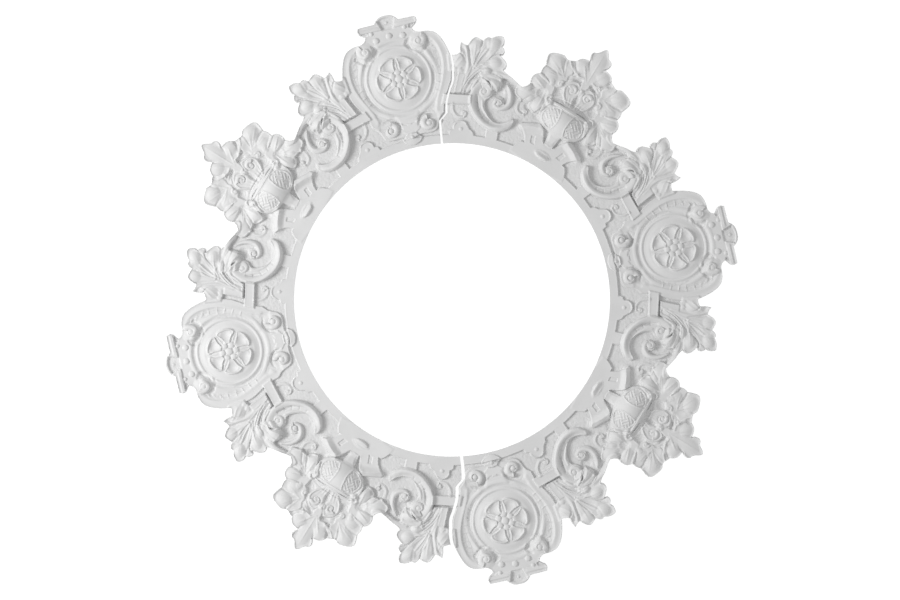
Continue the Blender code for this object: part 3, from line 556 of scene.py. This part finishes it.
# %% The plinth and the blocks
sheet.motif("urn")
sheet.terrace("plinth", 0.7, 3, PLINTH)
sheet.stroke("block ridge", 14, 13, [8, 8, 7, 5], [(31, 373), (40, 369.5), (50, 364.5),
             (62, 356.5)], sharp=0.5)
sheet.stroke("block side", 4, 4, [1, 1, 0.5], [(28, 378), (20, 366), (11, 352)])
sheet.stroke("block lip", 3, 4, [1, 0.5, 0, 0], [(72, 357), (62, 352), (52, 344), (45, 335)])
sheet.stroke("lens", 9, 4, [5, 4, 1], [(0, 325), (9, 325.5), (15, 328)])
sheet.stroke("lens line", 2.5, 2.5, [1, 1, 0.5], [(0, 337), (9, 335.5), (16, 331)])
sheet.terrace("slot", -1.6, 1.4, [(25, 339, 1), (33.5, 339, 1), (38.5, 352, 1), (31.5, 354.5, 1)])
sheet.terrace("almond", 1.4, 1.5, mirrored([(0, 336), (8, 334.2), (15.5, 329, 1), (8, 322.7), (0, 321)]))
sheet.report()

# %% The urn's foot and body
sheet.terrace("foot", -1, 3, mirrored([(0, 378, 1), (12.5, 378, 1), (9.5, 350, 1), (0, 350, 1)]))
sheet.dome("foot side", -3, 14, 366, 8, 16, turn=-20)
sheet.dome("urn dome", 11, 0, 406, 50, 34)
PANE = [(14, 424, 1), (22, 424.5), (33, 420), (40, 411), (42, 402), (39.5, 392.5), (32, 386), (24, 382),
        (14.5, 381, 1), (11, 391), (10.5, 402), (12, 414)]
sheet.dome("urn's belly", 9, 0, 405, 54, 46)
sheet.terrace("urn's wall", 2.2, 2, URN)
sheet.terrace("pane", -1.2, 1.4, PANE)
sheet.stroke("pane's border", 2.2, 2.2, [0.9], PANE + PANE[:1], sharp=-0.3)
sheet.weave(PANE, 0.6, 17)
sheet.terrace("mouth", 1.8, 1.3, mirrored([(0, 438), (24, 437), (38, 434.5), (47, 431, 1), (38, 428),
              (24, 427), (0, 426.8)]))
sheet.stroke("mouth's foot", 2.4, 2.6, [-0.6, -1, -0.6],
             [(-40, 425.5), (-20, 423.5), (20, 423.5), (40, 425.5)])
sheet.stroke("mouth's shade", 2.5, 2.2, [-0.4, -2, -2, -0.4],
             [(40, 437.5), (22, 442), (-22, 442), (-40, 437.5)])
sheet.report()

# %% The leaves of the cluster
sheet.terrace("top plate", 2.5, 3, mirrored([(0, 575, 1), (30, 560, 1), (55, 520, 1), (44, 508),
              (34, 501), (28, 498), (20, 496.5), (12, 498, 1), (9, 494), (7.5, 485), (5, 477, 1),
              (0, 474, 1)]))
sheet.terrace("shoulder plate", 2, 3, [(40, 471), (36, 478), (37, 487), (33, 497), (42, 508),
              (55, 520, 1), (100, 520, 1), (96, 464, 1), (75, 458), (60, 457), (49, 456, 1), (42, 459),
              (38, 465)])
sheet.terrace("side plate", 3, 3, [(62, 457, 1), (80, 464.5), (98, 464, 1), (104, 440, 1), (112, 425, 1),
              (112, 416), (111, 407), (104, 402.5), (97, 401.5), (91.5, 398, 1), (87, 401.5), (80, 402.5),
              (76.5, 403.5, 1), (73.5, 397.5), (66, 393), (55, 391.5), (50, 396), (45, 409), (42, 418),
              (38, 425), (42, 434), (46, 441), (47, 449), (49, 456, 1)])
for leaf, rise, x, y, across, up, turn in (
        ("side", 3.8, 91, 418, 18, 16, 0), ("side", 1.5, 76, 411, 9, 9, 0),
        ("side", 5.2, 58, 410, 14, 16, 0), ("side", 3.8, 81, 448, 17, 15, 20),
        ("shoulder", 3, 66, 469, 14, 13, 0), ("shoulder", 4.5, 70, 501, 17, 16, 0),
        ("shoulder", 1.1, 55, 507, 5, 8, -10), ("top", 3, 22, 519, 15, 13, 0),
        ("top", 2.6, 0, 538, 14, 24, 0), ("top", 0.8, 22, 547, 5, 7, 0)):
    sheet.dome(leaf + " lobe", rise, x, y, across, up, turn)
sheet.stroke("lobe's wall", 4, 4, [0, 0.5, 0.5], [(43, 417), (46, 406), (49, 396)])
for root, tips in (((0, 492), ((0, 560), (24, 526))),
                   ((44, 482), ((70, 508), (78, 478), (54, 508), (86, 500))),
                   ((60, 440), ((92, 452), (100, 414), (78, 408), (58, 400), (84, 442)))):
    for tip in tips:
        sheet.stroke("vein", 2.1, 2.1, [0.2, 0.7, 0.6, 0.1], [root, tip], sharp=0.3)
sheet.report()

# %% The curls, the buds and the ball
sheet.dome("upper curl", 2.5, 58, 459.5, 6, 6)
sheet.dome("lower curl", 5, 43, 425, 9, 10, turn=30)
sheet.stroke("upper curl's ring", 3, 3, [0.5, 1, 1, 0.5], [(54, 462), (58, 466), (63, 463), (64, 457)])
sheet.dome("ball", 5, 0, 472, 8, 8)
sheet.dome("tongue", 1.5, 27, 501, 6, 5)
sheet.terrace("bud", 1.6, 2, [(3, 437, 1), (3, 458), (4, 470), (7, 480), (12, 486), (18, 487), (25, 483),
              (31, 475), (33.5, 466), (32, 456), (25, 447), (17, 438, 1)])
sheet.stroke("bud's wall", 4, 2.2, [0.5, 1, 0.8, 0.8, 1.2, 2, 2, 1], [(5, 474), (9, 482), (16, 484.5),
             (24, 480), (29.5, 472), (31, 463), (27, 453), (18, 443)])
sheet.dome("bud's pit", -2.4, 16, 466, 9, 9)
sheet.coil("bud's curl", 3.4, 17, 468, 12.5, 8.5, 20, 1, 4.4)
for x0, x1, x2 in ((5.5, 6.5, 8), (10.5, 12, 15), (14.5, 18, 22)):
    sheet.stroke("bud's flute", 1.9, 1.9, [0.9, 0.7, 0.2], [(x0, 438), (x1, 447), (x2, 456)], sharp=0.3)
sheet.stroke("ribbon", 3.5, 3, [1.4, 1.6, 2, 2.2], [(11, 499), (18, 497), (25, 499), (29, 496)])
sheet.dome("ribbon's shade", -3, 17, 490, 11, 4, turn=-15)
sheet.coil("shoulder curl", 2.2, 42, 467, 8.5, 6, 120, -1, 3.8)
sheet.stroke("side curl", 3.4, 3, [1, 2.4, 2.6, 2.2],
             [(38, 436), (49, 436), (52, 428), (46, 423)], sharp=-0.5)
sheet.report()

# %% Pits and hollows
for rise, x, y, across, up, turn in (
        (-4, 38, 452, 10, 12, 30), (-4, 64, 433, 12, 10, -40), (-4, 73, 396, 10, 8, 0),
        (-4, 0, 453, 7, 13, 0), (-1.5, 28, 496, 6, 5, 0), (-2, 50, 388, 10, 7, 20),
        (-2, 46, 490, 16, 12, 0), (-3, 41, 515, 8, 9, 0), (-2, 18, 490, 13, 6, -20)):
    sheet.dome("pit", rise, x, y, across, up, turn)
sheet.report()

# %% Cuts and veins
for width, rises, points in ((3, [-2, -1.5, -0.5], [(17, 536), (15, 528), (10, 520)]),
                             (4, [-2, -2, -1], [(41, 521), (36, 512), (27, 503)]),
                             (3, [-1.5, -1.5, -0.5], [(58, 515), (57, 506), (52, 496)]),
                             (4, [-2, -2, -1], [(88, 483), (76, 484), (62, 482)]),
                             (4, [-2, -2, -1], [(93, 437), (82, 436), (70, 437)]),
                             (3, [-1.5, -1.5, -0.5], [(90, 399), (84, 410), (76, 424)]),
                             (3, [-1.5, -1.5, -0.5], [(76, 404), (70, 414), (66, 426)])):
    sheet.stroke("cut", width, width, rises, points, sharp=0.5)
for points in ([(46, 484), (56, 492), (66, 500)], [(48, 482), (62, 476), (74, 474)],
               [(66, 444), (78, 448), (90, 452)], [(66, 432), (78, 424), (92, 418)],
               [(60, 434), (58, 422), (57, 408)], [(8, 500), (14, 510), (22, 520)]):
    sheet.stroke("broad vein", 3, 3, [0.5, 0.8, 0.4], points)
sheet.stroke("top leaf's edge", 3, 3, [1, 1.5, 1], [(19, 492), (25, 487), (31, 481)])
sheet.stroke("shoulder's edge", 4, 4, [0.5], [(60, 516), (74, 514), (86, 508), (91, 500), (88, 488)])
sheet.report()

# %% [markdown]
# ## One half of the ring
#
# The outline of a half follows the outer edge, a stepped joint, the inner circle and the joint again.
# Inside it a fine triangular pattern of points is joined by Blender's own triangulation, and each point
# is lifted to the carved height. The back is flat.

# %% The ring's outline
JOINT = [(51, 300.7, 1), (54, 325, 1), (57.5, 345, 1), (66, 351.5, 1), (73, 357, 1), (75.5, 368), (79, 379.5),
         (90, 400.5), (98.5, 414), (103.5, 431), (107, 448), (108, 465, 1)]
CURVE_STEPS = 4
INNER_SIDES = 360


def wedge_points():
    """The outer edge of one wedge as (distance, turn, corner)."""
    points = [(hypot(*p[:2]), atan2(p[0], p[1]), p[2:]) for p in PLAQUE_EDGE]
    for frame_turn, edge in ((WEDGE/2, SPRAY_EDGE), (WEDGE, CLUSTER_EDGE)):
        points += [(hypot(*p[:2]), frame_turn - atan2(p[0], p[1]), p[2:]) for p in edge]
    return points


def placed(points, turn, mirror=False):
    return [(r*sin(turn - t if mirror else turn + t), r*cos(turn - t if mirror else turn + t), *corner)
            for r, t, corner in points]


def ring_edge():
    """The whole outer edge, clockwise from the plaque on +Y."""
    wedge = wedge_points()
    points = []
    for quarter in range(4):
        points += placed(wedge[:-1], quarter*2*WEDGE)
        points += placed(wedge[:0:-1], (quarter + 1)*2*WEDGE, mirror=True)
    return smooth(points, steps=CURVE_STEPS), 2*len(wedge) - 2


edge, per_quarter = ring_edge()
joint = smooth(JOINT, closed=False, steps=CURVE_STEPS)
joint[0] *= INNER/hypot(*joint[0])
near_end = (len(PLAQUE_EDGE) - 1)*CURVE_STEPS
far_end = near_end + 2*per_quarter*CURVE_STEPS
arc = atan2(*joint[0]) - np.linspace(0, pi, INNER_SIDES + 1)[1:-1]
outline = np.vstack([edge[far_end:-1], edge[:near_end + 1], joint[-2::-1],
                     INNER*np.column_stack([np.sin(arc), np.cos(arc)]), -joint[:-1]])
print("a half's outline has", len(outline), "points")

# %% [markdown]
# The relief ends in a rounded wall all round the outside, so its height is held down near the edge. The
# distance is measured from a stretch of the edge that runs a few points past both sides of the wedge. A
# last pass then cuts every arris and groove a little deeper than drawn, as a carver's chisel would.

# %% Hold the edge down and sharpen
EDGE_FOOT = 8.0
EDGE_RISE = 40.0
EDGE_DRAFT = 2.6
BLUR = 9
CRISPNESS = 0.65
PAST_AXIS = 12

past = PAST_AXIS*CURVE_STEPS
stretch = np.vstack([edge[-1 - past:-1], edge[:per_quarter*CURVE_STEPS//2 + past]])
edge_depth = depth(radius_grid*np.sin(turn_grid), radius_grid*np.cos(turn_grid),
                   np.vstack([stretch, [[0, 0]], stretch[:1]]))
sheet.height = np.minimum(sheet.height, EDGE_FOOT + EDGE_RISE*ease(edge_depth/EDGE_DRAFT))


def soften(height, passes):
    """Average each sample with its neighbours. The wedge is mirrored at its two sides."""
    for _ in range(passes):
        for axis in (0, 1):
            low, high = np.roll(height, 1, axis), np.roll(height, -1, axis)
            if axis == 0:
                low[0], high[-1] = height[0], height[-1]
            else:
                low[:, 0], high[:, -1] = height[:, 1], height[:, -2]
            height = (low + 2*height + high)/4
    return height


blurred = soften(sheet.height, BLUR)
relief = np.clip(sheet.height + CRISPNESS*(sheet.height - blurred), EDGE_FOOT, TOP)
print("the relief reaches", round(float(relief.max()), 1), "mm")


# %% Read the wedge anywhere on the ring
def read(grid, x, y):
    """A value of the wedge at points of the ring, between its four nearest samples."""
    turn = np.arctan2(x, y) % (2*WEDGE)
    turn = np.minimum(turn, 2*WEDGE - turn)
    i = np.clip((np.hypot(x, y) - radii[0])/(radii[1] - radii[0]), 0, len(radii) - 1.001)
    j = np.clip(turn/(turns[1] - turns[0]), 0, len(turns) - 1.001)
    i0, j0 = i.astype(int), j.astype(int)
    u, v = i - i0, j - j0
    return ((1 - u)*(1 - v)*grid[i0, j0] + u*(1 - v)*grid[i0 + 1, j0]
            + (1 - u)*v*grid[i0, j0 + 1] + u*v*grid[i0 + 1, j0 + 1])


# %% Points inside a half
SPACING = 1.15
CLEARANCE = 0.4*SPACING


def points_inside():
    rows = np.arange(-OUTER, OUTER, SPACING*sin(pi/3))
    x, y = np.meshgrid(np.arange(-OUTER, OUTER, SPACING), rows)
    x[1::2] += SPACING/2
    x, y = x.ravel(), y.ravel()
    ring = (np.hypot(x, y) > INNER + CLEARANCE) & (np.hypot(x, y) < OUTER)
    x, y = x[ring], y[ring]
    side = np.vstack([joint, 2*joint[-1:], [[-2*OUTER, 2*OUTER], [-2*OUTER, -2*OUTER]],
                      -2*joint[-1:], -joint[::-1], joint[:1]])
    keep = (read(edge_depth, x, y) > CLEARANCE) & (depth(x, y, side) > CLEARANCE)
    return np.column_stack([x[keep], y[keep]])


inside = points_inside()
print(len(inside), "points inside a half")

# %% [markdown]
# The fine mesh is thinned to a fixed number of triangles. Points that would stand out past the solids'
# box are moved back, so that the visible ring is never larger than the solid one.

# %% Build the mesh of a half
MM = 0.001
MOST_TRIANGLES = 196000
REACH = 567.7
SHARP = radians(50)
INSIDE_ONLY = 1
MERGE = 1e-5


def fine_half():
    count = len(outline)
    loop = [(i, (i + 1) % count) for i in range(count)]
    points = [tuple(p) for p in np.vstack([outline, inside])]
    flat, _, faces, *_ = delaunay_2d_cdt([Vector(p) for p in points], loop, [], INSIDE_ONLY, MERGE)
    flat = np.array(flat)
    back, _, back_faces, *_ = delaunay_2d_cdt([Vector(p) for p in points[:count]], loop, [],
                                              INSIDE_ONLY, MERGE)
    total = len(flat)
    top = np.column_stack([flat, np.maximum(read(relief, flat[:, 0], flat[:, 1]), EDGE_FOOT)])
    under = np.column_stack([np.array(back), np.zeros(len(back))])
    walls = [(i, (i + 1) % count, total + (i + 1) % count, total + i) for i in range(count)]
    lower = [tuple(total + i for i in reversed(face)) for face in back_faces]
    mesh = bpy.data.meshes.new("half")
    mesh.from_pydata(np.vstack([top, under])*MM, [],
                     [tuple(face) for face in faces] + lower + [wall[::-1] for wall in walls])
    mesh.validate()
    return mesh


def reduced(mesh):
    block = bpy.data.objects.new("half", mesh)
    bpy.context.scene.collection.objects.link(block)
    reduce = block.modifiers.new("reduce", "DECIMATE")
    reduce.ratio = MOST_TRIANGLES/sum(len(face.vertices) - 2 for face in mesh.polygons)
    depsgraph = bpy.context.evaluated_depsgraph_get()
    light = bpy.data.meshes.new_from_object(block.evaluated_get(depsgraph))
    bpy.data.objects.remove(block)
    for vert in light.vertices:
        vert.co.x, vert.co.y = (min(max(value, -REACH*MM), REACH*MM) for value in vert.co.xy)
        vert.co.z = min(max(vert.co.z, 0), TOP*MM)
    light.shade_smooth()
    light.set_sharp_from_angle(angle=SHARP)
    return light


half_mesh = reduced(fine_half())
print("a half has", len(half_mesh.polygons), "faces")

# %% [markdown]
# ## The primed surface
#
# The rose is rigid cast foam under a coat of matt white primer. The primer lies fairly even, with a fine
# grain everywhere and a stippled ground between the carved forms. A material is a graph of nodes, and a
# small class lets that graph be written as ordinary arithmetic.


# %% A socket that takes part in arithmetic
class Wire:
    def __init__(self, surface, socket):
        self.surface, self.socket = surface, socket

    def math(self, operation, *values):
        return self.surface.node("ShaderNodeMath", {"operation": operation}, dict(enumerate(values)))

    def __add__(self, other):
        return self.math("ADD", self, other)

    def __rsub__(self, other):
        return self.math("SUBTRACT", other, self)

    def __mul__(self, other):
        return self.math("MULTIPLY", self, other)

    __radd__, __rmul__ = __add__, __mul__

    def between(self, low, high):
        """0 below low, 1 above high and eased from one to the other."""
        return self.surface.node("ShaderNodeMapRange", {"interpolation_type": "SMOOTHSTEP"},
                                 {"Value": self, "From Min": low, "From Max": high})


class Surface:
    """A material whose nodes are made by one method."""

    def __init__(self, name):
        self.material = bpy.data.materials.new(name)
        self.material.use_nodes = True
        self.tree = self.material.node_tree
        self.shader = self.tree.nodes["Principled BSDF"]

    def node(self, kind, settings, sockets, output=0):
        node = self.tree.nodes.new(kind)
        for key, value in settings.items():
            setattr(node, key, value)
        for key, value in sockets.items():
            self.feed(node.inputs[key], value)
        return Wire(self, node.outputs[output])

    def feed(self, socket, value):
        if isinstance(value, Wire):
            self.tree.links.new(value.socket, socket)
        else:
            socket.default_value = value


# %% Primer over cast foam
GROUND_FADE = 0.0118, 0.0128
GRAIN_SHARE = 0.07


def primed_cast():
    primer = Surface("primed_cast")
    place = primer.node("ShaderNodeTexCoord", {}, {}, "Object")
    height = primer.node("ShaderNodeSeparateXYZ", {}, {"Vector": place}, "Z")
    grain = primer.node("ShaderNodeTexNoise", {}, {"Vector": place, "Scale": 900.0, "Detail": 2.0})
    stipple = primer.node("ShaderNodeTexNoise", {}, {"Vector": place, "Scale": 170.0, "Detail": 3.0})
    cloud = primer.node("ShaderNodeTexNoise", {}, {"Vector": place, "Scale": 14.0, "Detail": 2.0})
    low = 1 - height.between(*GROUND_FADE)
    relief_bump = stipple*low + grain*GRAIN_SHARE
    bump = primer.node("ShaderNodeBump", {}, {"Height": relief_bump, "Distance": 0.002, "Strength": 0.8})
    primer.feed(primer.shader.inputs["Normal"], bump)
    tone = primer.node("ShaderNodeMix", {"data_type": "RGBA"}, {
        "Factor": cloud.between(0.3, 0.7), 6: (0.70, 0.70, 0.70, 1), 7: (0.735, 0.735, 0.735, 1)}, 2)
    primer.feed(primer.shader.inputs["Base Color"], tone)
    primer.feed(primer.shader.inputs["Roughness"], 0.52 + 0.1*grain)
    primer.feed(primer.shader.inputs["Specular IOR Level"], 0.35)
    return primer.material


half_mesh.materials.clear()
half_mesh.materials.append(primed_cast())
print("materials:", [m.name for m in bpy.data.materials])

# %% [markdown]
# ## Lay the halves down
#
# The two halves are the same casting. One is turned by half a turn, and they lie a few millimetres
# apart, a little further at the lower joint than at the upper one, just as the solids do.

# %% Place the halves
JOINT_GAP_TOP = 4.0
JOINT_GAP_BOTTOM = 6.4


def place_half(name, node, side):
    half = bpy.data.objects.new(name, half_mesh)
    bpy.context.scene.collection.objects.link(half)
    joint_turn = atan2(JOINT[0][0], JOINT[0][1])
    shift = (JOINT_GAP_TOP + JOINT_GAP_BOTTOM)/4*MM
    spread = (JOINT_GAP_BOTTOM - JOINT_GAP_TOP)/(INNER + OUTER)/2
    half.location = (side*shift*cos(joint_turn), -side*shift*sin(joint_turn), 0)
    half.rotation_euler = (0, 0, side*spread + (pi if side > 0 else 0))
    bpy.context.view_layer.update()
    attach(half, "root")
    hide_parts(node)


place_half("left_casting", "left_half", -1)
place_half("right_casting", "right_half", 1)

# %% [markdown]
# ## Floor, light and camera
#
# The rose lies face up on a plain white floor. A large soft light stands low on the photo's left, and
# a pale world fills the shadows. The camera looks straight down from far away, turned so that the
# plaques lie as they do in the photo.


# %% Floor
FLOOR_REACH = 3.0
FLOOR_LEVEL = -0.0005


def white_floor():
    mesh = bpy.data.meshes.new("floor")
    corners = [(x*FLOOR_REACH, y*FLOOR_REACH, 0) for x, y in ((-1, -1), (1, -1), (1, 1), (-1, 1))]
    mesh.from_pydata(corners, [], [(0, 1, 2, 3)])
    floor = bpy.data.objects.new("floor", mesh)
    floor.location.z = FLOOR_LEVEL
    bpy.context.scene.collection.objects.link(floor)
    paint = Surface("white_floor")
    paint.feed(paint.shader.inputs["Base Color"], (0.35, 0.35, 0.35, 1))
    paint.feed(paint.shader.inputs["Roughness"], 0.9)
    paint.feed(paint.shader.inputs["Specular IOR Level"], 0.0)
    paint.feed(paint.shader.inputs["Emission Color"], (1, 1, 1, 1))
    paint.feed(paint.shader.inputs["Emission Strength"], 0.85)
    mesh.materials.append(paint.material)


white_floor()

# %% Light
PHOTO_TURN = radians(13.19)
WORLD_STRENGTH = 0.53


def soft_light(name, turn, climb, distance, size, power):
    """An area light; turn is counted from the photo's right, anticlockwise, and climb from the floor."""
    lamp = bpy.data.lights.new(name, "AREA")
    lamp.shape, lamp.size, lamp.energy = "DISK", size, power
    light = bpy.data.objects.new(name, lamp)
    around, up = radians(turn) - PHOTO_TURN, radians(climb)
    way = Vector((cos(around)*cos(up), sin(around)*cos(up), sin(up)))
    light.location = distance*way
    light.rotation_euler = way.to_track_quat("Z", "Y").to_euler()
    bpy.context.scene.collection.objects.link(light)


soft_light("window_light", turn=182, climb=38, distance=3.6, size=1.5, power=85)
world = bpy.data.worlds.new("pale")
bpy.context.scene.world = world
world.use_nodes = True
sky = world.node_tree.nodes["Background"]
sky.inputs["Color"].default_value = (1, 1, 1, 1)
sky.inputs["Strength"].default_value = WORLD_STRENGTH
bpy.context.scene.view_settings.view_transform = "Standard"

# %% Camera
HOLE_PIXELS = 157
PHOTO_SCALE = INNER/HOLE_PIXELS
PHOTO_WIDTH, PHOTO_HEIGHT = 900, 600
PHOTO_CENTRE = (451.8, 299.9)
CAMERA_HEIGHT = 6.0
SENSOR = 36.0


def photo_camera():
    camera = bpy.data.objects.new("camera", bpy.data.cameras.new("camera"))
    bpy.context.scene.collection.objects.link(camera)
    camera.data.sensor_width = SENSOR
    camera.data.lens = SENSOR*(CAMERA_HEIGHT - TOP*MM/2)/(PHOTO_WIDTH*PHOTO_SCALE*MM)
    off_x = (PHOTO_WIDTH/2 - PHOTO_CENTRE[0])*PHOTO_SCALE*MM
    off_y = (PHOTO_CENTRE[1] - PHOTO_HEIGHT/2)*PHOTO_SCALE*MM
    camera.location = (off_x*cos(PHOTO_TURN) + off_y*sin(PHOTO_TURN),
                       off_y*cos(PHOTO_TURN) - off_x*sin(PHOTO_TURN), CAMERA_HEIGHT)
    camera.rotation_euler = (0, 0, -PHOTO_TURN)
    bpy.context.scene.camera = camera


photo_camera()
